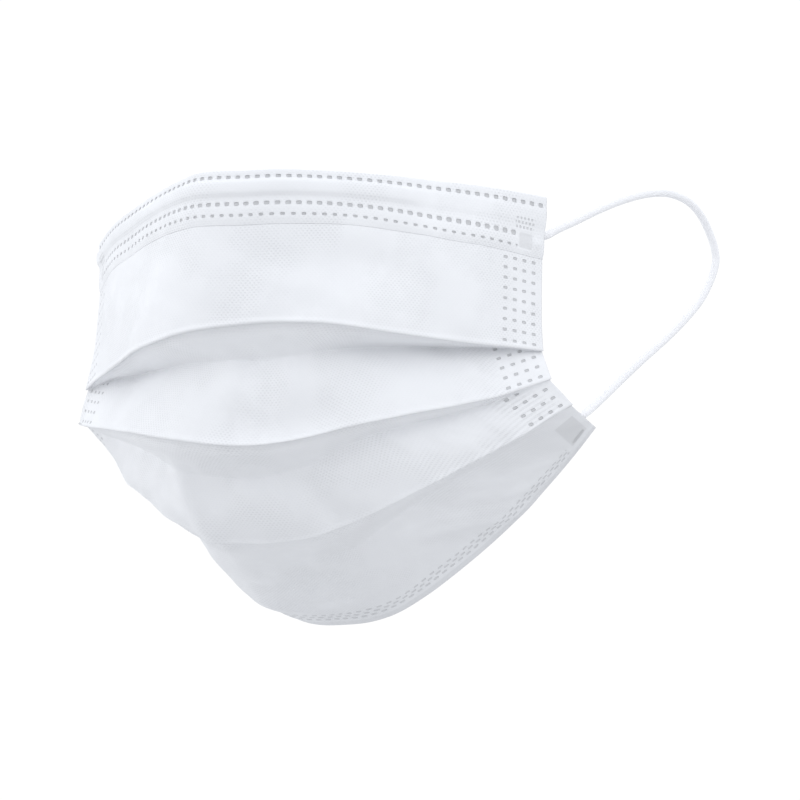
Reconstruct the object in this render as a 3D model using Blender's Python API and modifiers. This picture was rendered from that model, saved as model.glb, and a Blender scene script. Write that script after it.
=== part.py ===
"""Surgical face mask: a pleated sheet of bonded nonwoven with two ear loops, opened out as it is worn.

Units are metres. +X is the wearer's left, -Y is the front of the mask and +Z is up.
The origin is on the inside of the top edge at its middle, where the mask sits on the nose.
The sheet is described by rows that run from side edge to side edge: the top edge, the three folds
with the crease behind each, and the bottom edge. Every row is as long as the cloth is wide.
"""

import bpy
import numpy as np

COLLECTION = "surgical_face_mask"

# Cloth
CLOTH_WIDTH = 0.175
WALL = 0.001
CLEARANCE = 0.0003

# Worn shape: where the middle of the bottom edge sits from the middle of the top edge
CHIN_BACK = 0.082
CHIN_DROP = 0.102

# Pleats: cloth that each fold hides when it is shut, and the step it keeps at the welded side edges
PLEAT_DEPTH = 0.014
PLEAT_STEP = 0.001

# Outward crown of a panel between its two rows
PANEL_CROWN = 0.0016

# Rows of the sheet. Places at the middle are shares of CHIN_BACK and CHIN_DROP.
# The row turns back by turn degrees within turn_share of the half width, and by curl over all of it.
# It climbs by rise degrees within rise_share of the half width, and by lift over all of it.
ROW_COLUMNS = ("back", "drop", "turn", "turn_share", "curl", "rise", "rise_share", "lift")
ROWS = {
    "top_edge": (0.00, 0.00, 39, 0.22, 14, 7, 0.25, -8),
    "fold_1": (-0.03, 0.39, 45, 0.44, 9, -4, 0.25, 8),
    "fold_2": (0.04, 0.67, 51, 0.56, -2, 11, 0.25, 9),
    "fold_3": (0.34, 0.87, 45, 0.64, -2, 28, 0.30, 3),
    "bottom_edge": (1.00, 1.00, 18, 0.46, -2, 30, 0.25, 22),
}

# Each fold's return runs back to its crease, tilted down by these degrees at the middle and the sides.
# It is open at the middle and shuts toward the sides by the power of the half width's share.
PLEAT_COLUMNS = ("tilt_middle", "tilt_side", "shut_power")
PLEATS = {
    "fold_1": (28, -10, 2.0),
    "fold_2": (25, 15, 1.2),
    "fold_3": (11, 35, 1.5),
}

# Strips of the sheet from the top edge down: upper row, lower row, steps in the mesh, share of the crown
STRIPS = {
    "top_panel": ("top_edge", "fold_1", 6, 0.5),
    "return_1": ("fold_1", "crease_1", 1, 0.0),
    "second_panel": ("crease_1", "fold_2", 4, 0.6),
    "return_2": ("fold_2", "crease_2", 1, 0.0),
    "third_panel": ("crease_2", "fold_3", 4, 1.0),
    "return_3": ("fold_3", "crease_3", 1, 0.0),
    "chin_panel": ("crease_3", "bottom_edge", 6, 1.0),
}
COLUMNS = 40  # steps across the cloth

# Top hem, folded over the outside, and the wire under it
TOP_HEM_DEPTH = 0.0145
HEM_LIP = 0.0004  # how far the hem's fold stands above the cloth's own edge
WIRE_LENGTH = 0.094
WIRE_WIDTH = 0.0032
WIRE_THICKNESS = 0.0006
WIRE_DROP = 0.0048  # from the top edge to the wire's middle line
RIDGE_RUN = 0.0012  # the hem's slope beside the wire

# Bottom hem, folded over the inside
BOTTOM_HEM_DEPTH = 0.0125

# Ear loops, and their flattened ends welded on the inside of the side edges.
# The lower ends lie on the bottom hem, so they are one layer further in.
LOOP_DIAMETER = 0.002
LOOP_END_LENGTH = 0.009
LOOP_END_WIDTH = 0.004
LOOP_END_THICKNESS = 0.001
LOOP_END_PROUD = 0.0006  # how far an end stands out past the side edge
TOP_LOOP_DROP = 0.0101  # down the side edge from the top edge to the upper end
CHIN_LOOP_DROP = 0.023  # down the side edge from the third crease to the lower end
LOOP_ENDS = {"top": ("top_panel", TOP_LOOP_DROP, 1), "chin": ("chin_panel", CHIN_LOOP_DROP, 2)}
LOOP_LEAD = 0.0015  # the straight stretch where a loop leaves an end
LOOP_SPACING = 0.0045  # between the points of a loop's tube

# The wearer's left loop between its two ends: back over the ear, round behind it and down to the chin
LOOP_ROUTE = (
    (0.0650, 0.0620, -0.0037),
    (0.0675, 0.0705, 0.0005),
    (0.0710, 0.0815, 0.0062),
    (0.0745, 0.0925, 0.0115),
    (0.0785, 0.1040, 0.0163),
    (0.0820, 0.1155, 0.0198),
    (0.0850, 0.1245, 0.0208),
    (0.0875, 0.1320, 0.0197),
    (0.0895, 0.1390, 0.0157),
    (0.0910, 0.1430, 0.0088),
    (0.0905, 0.1420, 0.0030),
    (0.0880, 0.1365, -0.0058),
    (0.0845, 0.1285, -0.0138),
    (0.0805, 0.1205, -0.0210),
    (0.0765, 0.1115, -0.0280),
    (0.0730, 0.1040, -0.0342),
    (0.0695, 0.0965, -0.0405),
    (0.0662, 0.0893, -0.0463),
)

FINE = 400  # steps of a row's integral


def smooth(x):
    """0 below 0, 1 above 1 and a smooth S between them."""
    x = np.clip(x, 0, 1)
    return x * x * (3 - 2 * x)


def heading(name, u):
    """A row's turn from straight across, in radians, at the share u of the half width."""
    row = dict(zip(ROW_COLUMNS, ROWS[name]))
    return np.radians(row["turn"] * smooth(u / row["turn_share"]) + row["curl"] * u)


def climb(name, u):
    """A row's slope above level, in radians, at the share u of the half width."""
    row = dict(zip(ROW_COLUMNS, ROWS[name]))
    return np.radians(row["rise"] * smooth(u / row["rise_share"]) + row["lift"] * u)


def half_row(name):
    """The points of a row from the middle to the wearer's left side, its direction integrated."""
    row = dict(zip(ROW_COLUMNS, ROWS[name]))
    u = (np.arange(FINE) + 0.5) / FINE
    turn, slope = heading(name, u), climb(name, u)
    ways = np.stack([np.cos(turn) * np.cos(slope), np.sin(turn) * np.cos(slope), np.sin(slope)], axis=1)
    steps = np.cumsum(ways, axis=0) * CLOTH_WIDTH / 2 / FINE
    start = np.array([0, row["back"] * CHIN_BACK - WALL, -row["drop"] * CHIN_DROP])
    return np.vstack([start, start + steps])


def row_points(name, u):
    """A row at the shares u of the half width, from -1 at the wearer's right to 1 at the left."""
    if name.startswith("crease"):
        return crease_points(name.replace("crease", "fold"), u)
    half, at = half_row(name), np.linspace(0, 1, FINE + 1)
    points = np.stack([np.interp(np.abs(u), at, half[:, k]) for k in range(3)], axis=1)
    points[:, 0] *= np.sign(u)
    return points


def crease_points(fold, u):
    """The crease behind a fold: the fold moved back along its tilted return."""
    pleat, share = dict(zip(PLEAT_COLUMNS, PLEATS[fold])), np.abs(u)
    tilt = np.radians(pleat["tilt_middle"] + (pleat["tilt_side"] - pleat["tilt_middle"]) * share**2)
    turn, side = heading(fold, share), np.sign(u)
    depth = PLEAT_STEP + (PLEAT_DEPTH - PLEAT_STEP) * (1 - share ** pleat["shut_power"])
    way = np.stack([-np.sin(turn) * side, np.cos(turn), -np.tan(tilt)], axis=1)
    way /= np.linalg.norm(way, axis=1)[:, None]
    return row_points(fold, u) + way * depth[:, None]


def unit(v):
    return v / np.linalg.norm(v, axis=-1, keepdims=True)


def strip_points(strip, u, share):
    """Points of the sheet's outer face on one strip, at a share of the way down from its upper row."""
    upper, lower, _, crown = STRIPS[strip]
    a, b = row_points(upper, u), row_points(lower, u)
    nudge = 1e-3
    along = row_points(upper, np.minimum(u + nudge, 1)) - row_points(upper, np.maximum(u - nudge, -1))
    out = unit(np.cross(b - a, along))
    bulge = 4 * share * (1 - share) * crown * PANEL_CROWN * (1 - u**4)
    return a + (b - a) * share + out * bulge[:, None]


def strip_normals(strip, u, share):
    """The sheet's outward directions at the same points."""
    nudge = 1e-3
    low, high = min(max(share - nudge, 0), 1 - nudge), max(min(share + nudge, 1), nudge)
    down = strip_points(strip, u, high) - strip_points(strip, u, low)
    left, right = np.maximum(u - nudge, -1), np.minimum(u + nudge, 1)
    across = strip_points(strip, right, share) - strip_points(strip, left, share)
    return unit(np.cross(down, across))


def strip_height(strip):
    """How tall a strip is at the middle."""
    upper, lower = STRIPS[strip][:2]
    middle = np.zeros(1)
    return float(np.linalg.norm(row_points(upper, middle) - row_points(lower, middle)))


def material(name, colour, roughness, metallic=0.0):
    found = bpy.data.materials.get(name)
    if found:
        return found
    made = bpy.data.materials.new(name)
    made.use_nodes = True
    shader = made.node_tree.nodes["Principled BSDF"]
    shader.inputs["Base Color"].default_value = (*colour, 1)
    shader.inputs["Roughness"].default_value = roughness
    shader.inputs["Metallic"].default_value = metallic
    return made


def nonwoven():
    return material("nonwoven", (0.86, 0.88, 0.92), 0.8)


def elastic():
    return material("elastic", (0.88, 0.88, 0.90), 0.7)


def coated_wire():
    return material("coated_wire", (0.85, 0.85, 0.85), 0.4)


def add_object(name, data, finish):
    made = bpy.data.objects.new(name, data)
    data.materials.append(finish)
    bpy.data.collections[COLLECTION].objects.link(made)
    return made


def sheet_object(name, rows, finish, thickness, side):
    """An open grid of rows of points, thickened outward (side 1) or inward (side -1)."""
    grid = np.array(rows)
    down, across = grid.shape[:2]
    first = np.arange((down - 1) * across).reshape(down - 1, across)[:, :-1].ravel()
    faces = np.stack([first, first + across, first + across + 1, first + 1], axis=1)
    mesh = bpy.data.meshes.new(name)
    mesh.from_pydata(grid.reshape(-1, 3).tolist(), [], faces.tolist())
    made = add_object(name, mesh, finish)
    wall = made.modifiers.new("wall", "SOLIDIFY")
    wall.thickness = thickness
    wall.offset = side
    wall.use_even_offset = True
    wall.use_quality_normals = True
    return made


def on_sheet(strip, u, share, height):
    """Points at a height over the sheet's outer face; the inside is at negative heights."""
    return strip_points(strip, u, share) + strip_normals(strip, u, share) * height


def mask_body():
    """The pleated sheet: every strip's rows from the top edge to the bottom edge, in one grid."""
    u = np.linspace(-1, 1, COLUMNS + 1)
    rows = [row_points("top_edge", u)]
    for strip, (_, _, steps, _) in STRIPS.items():
        rows += [strip_points(strip, u, k / steps) for k in range(1, steps + 1)]
    return sheet_object("mask_body", rows, nonwoven(), WALL, -1)


def top_hem():
    """The hem lies on the top panel and rides over the wire in a low ridge."""
    u = np.linspace(-1, 1, COLUMNS + 1)
    tall = strip_height("top_panel")
    over = CLEARANCE + WIRE_THICKNESS + CLEARANCE
    ridge = WIRE_WIDTH / 2 + CLEARANCE
    fade = smooth((WIRE_LENGTH / CLOTH_WIDTH - np.abs(u)) / 0.1 + 1.3)
    section = (
        (-HEM_LIP, 0),
        (WIRE_DROP - ridge - RIDGE_RUN, 0),
        (WIRE_DROP - ridge, 1),
        (WIRE_DROP + ridge, 1),
        (WIRE_DROP + ridge + RIDGE_RUN, 0),
        ((WIRE_DROP + TOP_HEM_DEPTH) / 2 + RIDGE_RUN, 0),
        (TOP_HEM_DEPTH, 0),
    )
    rows = []
    for drop, raised in section:
        height = CLEARANCE + (over - CLEARANCE) * raised * fade
        rows.append(on_sheet("top_panel", u, drop / tall, height[:, None]))
    return sheet_object("top_hem", rows, nonwoven(), WALL, 1)


def nose_wire():
    """The flat wire between the sheet and the hem, bent at the hem's own columns."""
    reach = WIRE_LENGTH / CLOTH_WIDTH
    u = np.linspace(-1, 1, COLUMNS + 1)
    u = np.concatenate([[-reach], u[np.abs(u) < reach], [reach]])
    tall = strip_height("top_panel")
    drops = (WIRE_DROP - WIRE_WIDTH / 2, WIRE_DROP + WIRE_WIDTH / 2)
    rows = [on_sheet("top_panel", u, drop / tall, CLEARANCE) for drop in drops]
    return sheet_object("nose_wire", rows, coated_wire(), WIRE_THICKNESS, 1)


def bottom_hem():
    """The hem lies on the inside of the chin panel along the bottom edge."""
    u = np.linspace(-1, 1, COLUMNS + 1)
    tall = strip_height("chin_panel")
    depth = -(WALL + CLEARANCE)
    shares = (1 - BOTTOM_HEM_DEPTH / tall, 1 - BOTTOM_HEM_DEPTH / tall / 2, 1)
    rows = [on_sheet("chin_panel", u, share, depth) for share in shares]
    return sheet_object("bottom_hem", rows, nonwoven(), WALL, -1)


def end_grid(strip, row_drop, layers, side, into):
    """A loop end's two long edges, under some layers of cloth and a way into the end, and its way out."""
    upper, lower = STRIPS[strip][:2]
    edge = np.array([float(side)])
    tall = float(np.linalg.norm(row_points(upper, edge) - row_points(lower, edge)))
    shares = ((row_drop - LOOP_END_WIDTH / 2) / tall, (row_drop + LOOP_END_WIDTH / 2) / tall)
    u = side * np.linspace(1 - 2 * LOOP_END_LENGTH / CLOTH_WIDTH, 1, 4)
    rows = np.array([on_sheet(strip, u, share, -layers * (WALL + CLEARANCE) - into) for share in shares])
    corners = rows[:, -1]
    way = unit((corners - rows[:, -2]).mean(axis=0))
    # The end is cut square to its way, with its nearer corner past the side edge by LOOP_END_PROUD
    past = (corners @ way).max() - corners @ way + LOOP_END_PROUD
    return np.concatenate([rows, (corners + way * past[:, None])[:, None]], axis=1), way


def loop_end(name, strip, row_drop, layers, side):
    """The flattened end of a loop, welded on the inside of the sheet at a side edge."""
    rows, _ = end_grid(strip, row_drop, layers, side, 0)
    return sheet_object(name, rows[:, ::side], elastic(), LOOP_END_THICKNESS, -1)


def loop_exit(strip, row_drop, layers, side):
    """Where a loop leaves its end, at the end's middle, and the way it goes."""
    rows, way = end_grid(strip, row_drop, layers, side, LOOP_END_THICKNESS / 2)
    return rows[:, -1].mean(axis=0) + way * CLEARANCE, way


def through(points, spacing):
    """Points about a spacing apart on the smooth (Catmull-Rom) curve through the given ones."""
    p = np.vstack([2 * points[0] - points[1], points, 2 * points[-1] - points[-2]])
    t = np.linspace(0, 1, 20, endpoint=False)[:, None]
    pieces = []
    for a, b, c, d in zip(p[:-3], p[1:-2], p[2:-1], p[3:]):
        curve = 2 * b + (c - a) * t + (2 * a - 5 * b + 4 * c - d) * t**2 + (3 * b - a - 3 * c + d) * t**3
        pieces.append(curve / 2)
    fine = np.vstack(pieces + [points[-1:]])
    along = np.concatenate([[0], np.cumsum(np.linalg.norm(np.diff(fine, axis=0), axis=1))])
    at = np.linspace(0, along[-1], round(along[-1] / spacing) + 1)
    return np.stack([np.interp(at, along, fine[:, k]) for k in range(3)], axis=1)


def ear_loop(name, side):
    """A round elastic from the upper end, over and behind the ear, to the lower end."""
    start, out = loop_exit(*LOOP_ENDS["top"], side)
    finish, back = loop_exit(*LOOP_ENDS["chin"], side)
    route = np.array(LOOP_ROUTE) * (side, 1, 1)
    between = through(np.vstack([start + out * LOOP_LEAD, route, finish + back * LOOP_LEAD]), LOOP_SPACING)
    places = np.vstack([start, between, finish])
    curve = bpy.data.curves.new(name, "CURVE")
    curve.dimensions = "3D"
    curve.bevel_depth = LOOP_DIAMETER / 2
    curve.bevel_resolution = 2
    curve.use_fill_caps = True
    spline = curve.splines.new("POLY")
    spline.points.add(len(places) - 1)
    spline.points.foreach_set("co", np.c_[places, np.ones(len(places))].ravel())
    return add_object(name, curve, elastic())


def remove_everything():
    for thing in list(bpy.data.objects):
        bpy.data.objects.remove(thing)


def build():
    remove_everything()
    bpy.context.scene.collection.children.link(bpy.data.collections.new(COLLECTION))
    mask_body()
    top_hem()
    nose_wire()
    bottom_hem()
    for name, side in (("left", 1), ("right", -1)):
        for place, where in LOOP_ENDS.items():
            loop_end(f"loop_end_{place}_{name}", *where, side)
        ear_loop(f"ear_loop_{name}", side)


build()
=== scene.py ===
# %% [markdown]
# # A pleated face mask, dressed
#
# The CAD model gives a surgical face mask its true size: a pleated sheet, two hems, a hidden wire and
# two ear loops. This lesson dresses it as bonded nonwoven cloth. Loading brings the CAD model in as a
# fixed frame, so every piece below can be placed in the same metres. We keep its box to compare later.

# %% Load the frame
import bpy
import numpy as np
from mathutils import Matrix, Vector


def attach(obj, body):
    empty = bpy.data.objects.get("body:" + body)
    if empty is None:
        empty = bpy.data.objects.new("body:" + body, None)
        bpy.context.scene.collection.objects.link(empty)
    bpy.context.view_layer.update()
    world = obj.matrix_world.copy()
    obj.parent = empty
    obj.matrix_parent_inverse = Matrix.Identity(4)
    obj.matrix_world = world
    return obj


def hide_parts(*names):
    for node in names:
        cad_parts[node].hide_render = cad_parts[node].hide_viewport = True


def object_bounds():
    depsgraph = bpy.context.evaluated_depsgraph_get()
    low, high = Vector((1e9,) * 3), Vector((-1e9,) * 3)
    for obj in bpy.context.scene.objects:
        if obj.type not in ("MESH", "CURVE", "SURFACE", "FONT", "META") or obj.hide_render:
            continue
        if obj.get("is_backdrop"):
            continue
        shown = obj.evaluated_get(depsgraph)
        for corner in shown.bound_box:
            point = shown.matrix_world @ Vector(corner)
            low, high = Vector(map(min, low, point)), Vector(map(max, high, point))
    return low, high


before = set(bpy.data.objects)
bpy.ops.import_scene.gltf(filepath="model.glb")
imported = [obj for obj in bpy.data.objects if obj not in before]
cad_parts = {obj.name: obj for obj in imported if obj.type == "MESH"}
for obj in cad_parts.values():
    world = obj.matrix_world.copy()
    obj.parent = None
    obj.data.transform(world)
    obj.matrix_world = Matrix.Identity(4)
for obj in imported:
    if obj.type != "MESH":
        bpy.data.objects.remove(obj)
cad_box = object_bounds()
MM = 0.001
print("CAD nodes:", sorted(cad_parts))

# %% [markdown]
# ## The camera
#
# A product photo like this one is taken from low down with a long lens, a little to the mask's left.
# A camera can be aimed by eye, but matching the folds in the picture gives a place, a heading, a
# pitch and a lens. Blender's camera looks along its own -Z, so pitch is counted from straight down.

# %% The camera
CAMERA_PLACE = (0.2419, -0.6337, -0.2072)
CAMERA_HEADING, CAMERA_PITCH, CAMERA_ROLL = 17.606, 12.429, 0.2
CAMERA_LENS, CAMERA_SENSOR = 127.93, 36

camera = bpy.data.objects.new("camera", bpy.data.cameras.new("camera"))
bpy.context.scene.collection.objects.link(camera)
camera.location = CAMERA_PLACE
camera.rotation_mode = "XYZ"
camera.rotation_euler = np.radians((90 + CAMERA_PITCH, CAMERA_ROLL, CAMERA_HEADING))
camera.data.lens = CAMERA_LENS
camera.data.sensor_width = CAMERA_SENSOR
camera.data.clip_start, camera.data.clip_end = 0.01, 20
bpy.context.scene.camera = camera
print("camera", [round(v, 3) for v in camera.location], "lens", camera.data.lens)

# %% [markdown]
# ## Meshes from arrays
#
# Every new piece is a grid of points that numpy works out in one go. A grid has rows and columns, and
# each cell is one face. The helper takes the whole array of points, and two more values for each
# point: its place on the flat cloth, which becomes the UV map that the woven patterns follow.

# %% Mesh helpers
def unit(v):
    """v divided by its length, along the last axis."""
    return v / np.maximum(np.linalg.norm(v, axis=-1, keepdims=True), 1e-12)


def grid_faces(down, across, wrap=False):
    """Corner numbers of a grid's cells: i, i + across, and the two to their right."""
    i = np.arange(down * across).reshape(down, across)
    j = np.roll(i, -1, axis=1) if wrap else i[:, 1:]
    k = i if wrap else i[:, :-1]
    return np.stack([k[:-1], k[1:], j[1:], j[:-1]], axis=-1).reshape(-1, 4)


def volume(mesh):
    """Sum of a . (b x c) / 6 over the triangles: positive where a closed mesh faces outward."""
    mesh.calc_loop_triangles()
    corner = np.empty(len(mesh.loop_triangles) * 3, dtype=np.int32)
    place = np.empty(len(mesh.vertices) * 3, dtype=np.float32)
    mesh.loop_triangles.foreach_get("vertices", corner)
    mesh.vertices.foreach_get("co", place)
    a, b, c = place.reshape(-1, 3).astype(float)[corner.reshape(-1, 3)].transpose(1, 0, 2)
    return float((a * np.cross(b, c)).sum() / 6)


def mesh_piece(name, points, faces, flat=None):
    """A piece from an array of points and an array or list of corners. flat is the UV of each point."""
    mesh = bpy.data.meshes.new(name)
    mesh.from_pydata(points.reshape(-1, 3), [], faces)
    if flat is not None:
        corner = np.empty(len(mesh.loops), dtype=np.int32)
        mesh.loops.foreach_get("vertex_index", corner)
        layer = mesh.uv_layers.new(name="flat")
        layer.data.foreach_set("uv", flat.reshape(-1, 2)[corner].astype(np.float32).ravel())
    mesh.shade_smooth()
    made = bpy.data.objects.new(name, mesh)
    bpy.context.scene.collection.objects.link(made)
    print(f"{name}: {len(mesh.vertices)} points, {len(faces)} faces, {volume(mesh) / MM**3:.0f} mm3")
    return made


def point_value(piece, name, values):
    """Stores one number for each point, which a material can read by its name."""
    layer = piece.data.attributes.new(name, "FLOAT", "POINT")
    layer.data.foreach_set("value", values.astype(np.float32).ravel())


print("cells of a grid of 3 by 3 points:", grid_faces(3, 3).tolist())

# %% [markdown]
# ## A smooth path through points
#
# The route of a cord is easiest to give as a few points in space. A Catmull-Rom curve passes through
# all of them, and points at even distances along it give the cord even stitches. Moving each point
# towards its neighbours a few times takes out what is left of the corners.

# %% Smooth paths
PATH_STEP = 0.25 * MM


def distance_along(path):
    """Distance from the first point to each point, in straight steps."""
    return np.concatenate([[0], np.cumsum(np.linalg.norm(np.diff(path, axis=0), axis=1))])


def through(points, spacing):
    """Points a spacing apart on the Catmull-Rom curve through the given points.

    Between b and c, with a before and d after, the curve is half of
    2b + (c - a)t + (2a - 5b + 4c - d)t^2 + (3b - a - 3c + d)t^3 for t from 0 to 1."""
    p = np.vstack([2 * points[0] - points[1], points, 2 * points[-1] - points[-2]])
    a, b, c, d = (p[k:len(p) - 3 + k, None] for k in range(4))
    t = np.linspace(0, 1, 24, endpoint=False)[None, :, None]
    fine = (2 * b + (c - a) * t + (2 * a - 5 * b + 4 * c - d) * t**2 + (3 * b - a - 3 * c + d) * t**3) / 2
    fine = np.vstack([fine.reshape(-1, 3), points[-1:]])
    along = distance_along(fine)
    at = np.linspace(0, along[-1], int(round(along[-1] / spacing)) + 1)
    return np.stack([np.interp(at, along, fine[:, k]) for k in range(3)], axis=1)


def softened(path, passes):
    """The path with each inner point moved to the mean of itself and its neighbours, several times."""
    for _ in range(passes):
        path = np.vstack([path[:1], (path[:-2] + 2 * path[1:-1] + path[2:]) / 4, path[-1:]])
    return path


corner_path = through(np.array([[0, 0, 0], [10, 0, 0], [10, 10, 0]]) * MM, PATH_STEP)
corner_length = distance_along(corner_path)[-1] / MM
print(f"round one corner: {len(corner_path)} points, {corner_length:.2f} mm")

# %% [markdown]
# ## A knitted cord
#
# A knitted elastic has lengthwise ribs of stitches. A curve with a bevel would give a smooth wire, so
# the tube is worked out ring by ring, and its radius rises and falls a little round it and along it.
# A fan of triangles closes each end.

# %% Knitted tube
# a direction that the loops' route never takes, from which the rings of the tube are turned
FIXED_WAY = (0.94, -0.34, 0.0)


def end_caps(rings, sides):
    """Two fans of triangles, from the first and the last ring to a point in the middle of each."""
    n = rings * sides
    ring = np.arange(sides)
    first = np.stack([ring, np.roll(ring, -1), np.full(sides, n)], axis=1)
    last = np.stack([np.roll(ring, -1) + n - sides, ring + n - sides, np.full(sides, n + 1)], axis=1)
    return first, last


def tube(name, path, radius, sides, ribs, rib_height, stitch, stitch_height):
    """A tube along a path: radius (1 + rib_height cos(ribs a) + stitch_height cos(2 pi s / stitch) c^2).

    a is the angle round the path, s the distance along it and c = cos(ribs a / 2). The frame round the
    path is a side vector square to both the path and the fixed way."""
    ways = unit(np.gradient(path, axis=0))
    s = distance_along(path)
    side = unit(np.cross(ways, FIXED_WAY))
    other = np.cross(ways, side)
    a = np.arange(sides) * 2 * np.pi / sides
    stitches = stitch_height * np.cos(2 * np.pi * s / stitch)[:, None] * np.cos(ribs * a / 2)[None] ** 2
    wave = rib_height * np.cos(ribs * a)[None] + stitches
    r = radius * (1 + wave)
    round_part = side[:, None] * (r * np.cos(a))[..., None], other[:, None] * (r * np.sin(a))[..., None]
    rings = path[:, None] + round_part[0] + round_part[1]
    flat = np.stack(np.broadcast_arrays(a[None] * radius, s[:, None]), axis=-1)
    points = np.vstack([rings.reshape(-1, 3), path[:1], path[-1:]])
    flat = np.vstack([flat.reshape(-1, 2), [[0, 0], [0, s[-1]]]])
    first, last = end_caps(len(path), sides)
    body = grid_faces(len(path), sides, wrap=True)[:, ::-1]
    return mesh_piece(name, points, body.tolist() + first[:, ::-1].tolist() + last[:, ::-1].tolist(), flat)


print("triangles that close a tube of 24 sides:", sum(len(cap) for cap in end_caps(2, 24)))

# %% [markdown]
# ## The ear loops
#
# An ear loop is a soft knitted elastic, about 2 mm thick and just under 200 mm long. It leaves the upper
# corner, runs back and comes round to the lower corner. Both of its ends go on for 3 mm behind the
# cloth, where a pressed end takes over. The two loops mirror each other, apart from their ends: those
# follow the cloth's two side edges, which lie a little differently.

# %% Ear loops
LOOP_DIAMETER = 2.0 * MM
LOOP_SIDES, LOOP_RIBS, RIB_HEIGHT = 24, 6, 0.006
STITCH, STITCH_HEIGHT = 1.0 * MM, 0.006
# a knit bulks up a little over its nominal size: its radius as a share of the diameter
LOOP_BULK = 0.55
LOOP_ROUTE = np.array([
    (62.7, 56.5, -6.9),
    (65.0, 62.0, -3.7), (67.5, 70.5, 0.5), (71.0, 81.5, 6.2), (74.5, 92.5, 11.5),
    (78.5, 104.0, 16.3), (82.0, 115.5, 19.8), (85.0, 124.5, 20.8), (87.5, 132.0, 19.7),
    (89.5, 139.0, 15.7), (91.0, 143.0, 8.8), (90.5, 142.0, 3.0), (88.0, 136.5, -5.8),
    (84.5, 128.5, -13.8), (80.5, 120.5, -21.0), (76.5, 111.5, -28.0), (73.0, 104.0, -34.2),
    (69.5, 96.5, -40.5), (66.2, 89.3, -46.3), (64.0, 87.0, -47.8),
]) * MM
# moves of single points of the route, in mm: each loop meets the cloth where its own side edge lies
ROUTE_MOVES = {
    "left": {-3: (0.3, -0.9, -0.2), -2: (1.0, -3.2, -0.7), -1: (2.2, -6.3, -2.0)},
    "right": {
        0: (1.8, 0, -1.2), 1: (3.2, 0, -0.6), 2: (3.4, 0, 0), 3: (2.0, 0, 0), 4: (0.8, 0, 0),
        -1: (-0.2, 0, -1.8),
    },
}
# where each loop turns into its pressed end, in mm: 3 mm in from the side edge and behind the cloth
HIDDEN_ENDS = {
    "left": ((59.9, 54.2, -7.0), (64.2, 80.2, -52.0)),
    "right": ((-58.6, 54.5, -8.2), (-62.1, 85.5, -51.7)),
}
loops, cord_paths = {}, {}
for name, side in (("left", 1), ("right", -1)):
    route = LOOP_ROUTE * (side, 1, 1)
    for number, move in ROUTE_MOVES[name].items():
        route[number] += np.array(move) * MM
    first_end, last_end = np.array(HIDDEN_ENDS[name]) * MM
    path = softened(through(np.vstack([first_end, route, last_end]), PATH_STEP), 40)
    knit_shape = (LOOP_SIDES, LOOP_RIBS, RIB_HEIGHT, STITCH, STITCH_HEIGHT)
    loop = tube(f"elastic_{name}", path, LOOP_BULK * LOOP_DIAMETER, *knit_shape)
    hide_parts(f"ear_loop_{name}")
    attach(loop, "root")
    loops[name], cord_paths[name] = loop, path

# %% [markdown]
# ## The rows of the cloth
#
# The mask is one flat sheet, 175 mm wide, folded into three pleats. Opened out, each fold still runs
# from side edge to side edge at its full length. So a fold is best drawn as a direction that changes
# along it: how far it has turned back and how steeply it climbs at each share of the half width.
# Adding up those directions gives the row's points, and the row can never stretch.

# %% Rows of the cloth
CLOTH_WIDTH = 175 * MM
WALL = 1.0 * MM
CHIN_BACK, CHIN_DROP = 82 * MM, 102 * MM

# back and drop of the middle as shares of the chin's, then turn, its share, curl, rise, its share and
# lift, with all angles in degrees
ROWS = {
    "top_edge": (0.00, 0.00, 39, 0.22, 14, 7, 0.25, -8),
    "fold_1": (-0.03, 0.39, 45, 0.44, 9, -4, 0.25, 8),
    "fold_2": (0.04, 0.67, 51, 0.56, -2, 11, 0.25, 9),
    "fold_3": (0.34, 0.87, 45, 0.64, -2, 28, 0.30, 3),
    "bottom_edge": (1.00, 1.00, 18, 0.46, -2, 30, 0.25, 22),
}
STEPS = 2000


def smooth(x):
    """3x^2 - 2x^3 between 0 and 1, held at its ends outside."""
    x = np.clip(x, 0, 1)
    return x * x * (3 - 2 * x)


def row_turn(name, share):
    """turn smooth(share / turn_share) + curl share, in radians."""
    _, _, turn, turn_share, curl = ROWS[name][:5]
    return np.radians(turn * smooth(share / turn_share) + curl * share)


def row_points(name, u):
    """The row at shares u of the half width: its start plus the sum of its directions."""
    back, drop, _, _, _, rise, rise_share, lift = ROWS[name]
    mid = (np.arange(STEPS) + 0.5) / STEPS
    turn = row_turn(name, mid)
    slope = np.radians(rise * smooth(mid / rise_share) + lift * mid)
    ways = np.stack([np.cos(turn) * np.cos(slope), np.sin(turn) * np.cos(slope), np.sin(slope)], axis=1)
    start = np.array([0, back * CHIN_BACK - WALL, -drop * CHIN_DROP])
    half = np.vstack([start, start + np.cumsum(ways, axis=0) * CLOTH_WIDTH / 2 / STEPS])
    at = np.linspace(0, 1, STEPS + 1)
    points = np.stack([np.interp(np.abs(u), at, half[:, k]) for k in range(3)], axis=1)
    points[:, 0] *= np.sign(u)
    return points


u_test = np.linspace(-1, 1, 201)
for name in ROWS:
    row = row_points(name, u_test)
    print(f"{name}: {distance_along(row)[-1] / MM:.1f} mm, side at {np.round(row[-1] / MM, 1)}")

# %% [markdown]
# ## The creases behind the folds
#
# Behind each fold the cloth runs back up to a crease, and from there the next panel hangs down. That
# return is deep at the middle, where the pleat stands open, and almost nothing in the welded bands at
# the sides. So a crease needs no row of its own: it is the fold, moved back along its return.

# %% Creases
PLEAT_DEPTH, PLEAT_STEP = 14 * MM, 1.0 * MM
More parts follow.
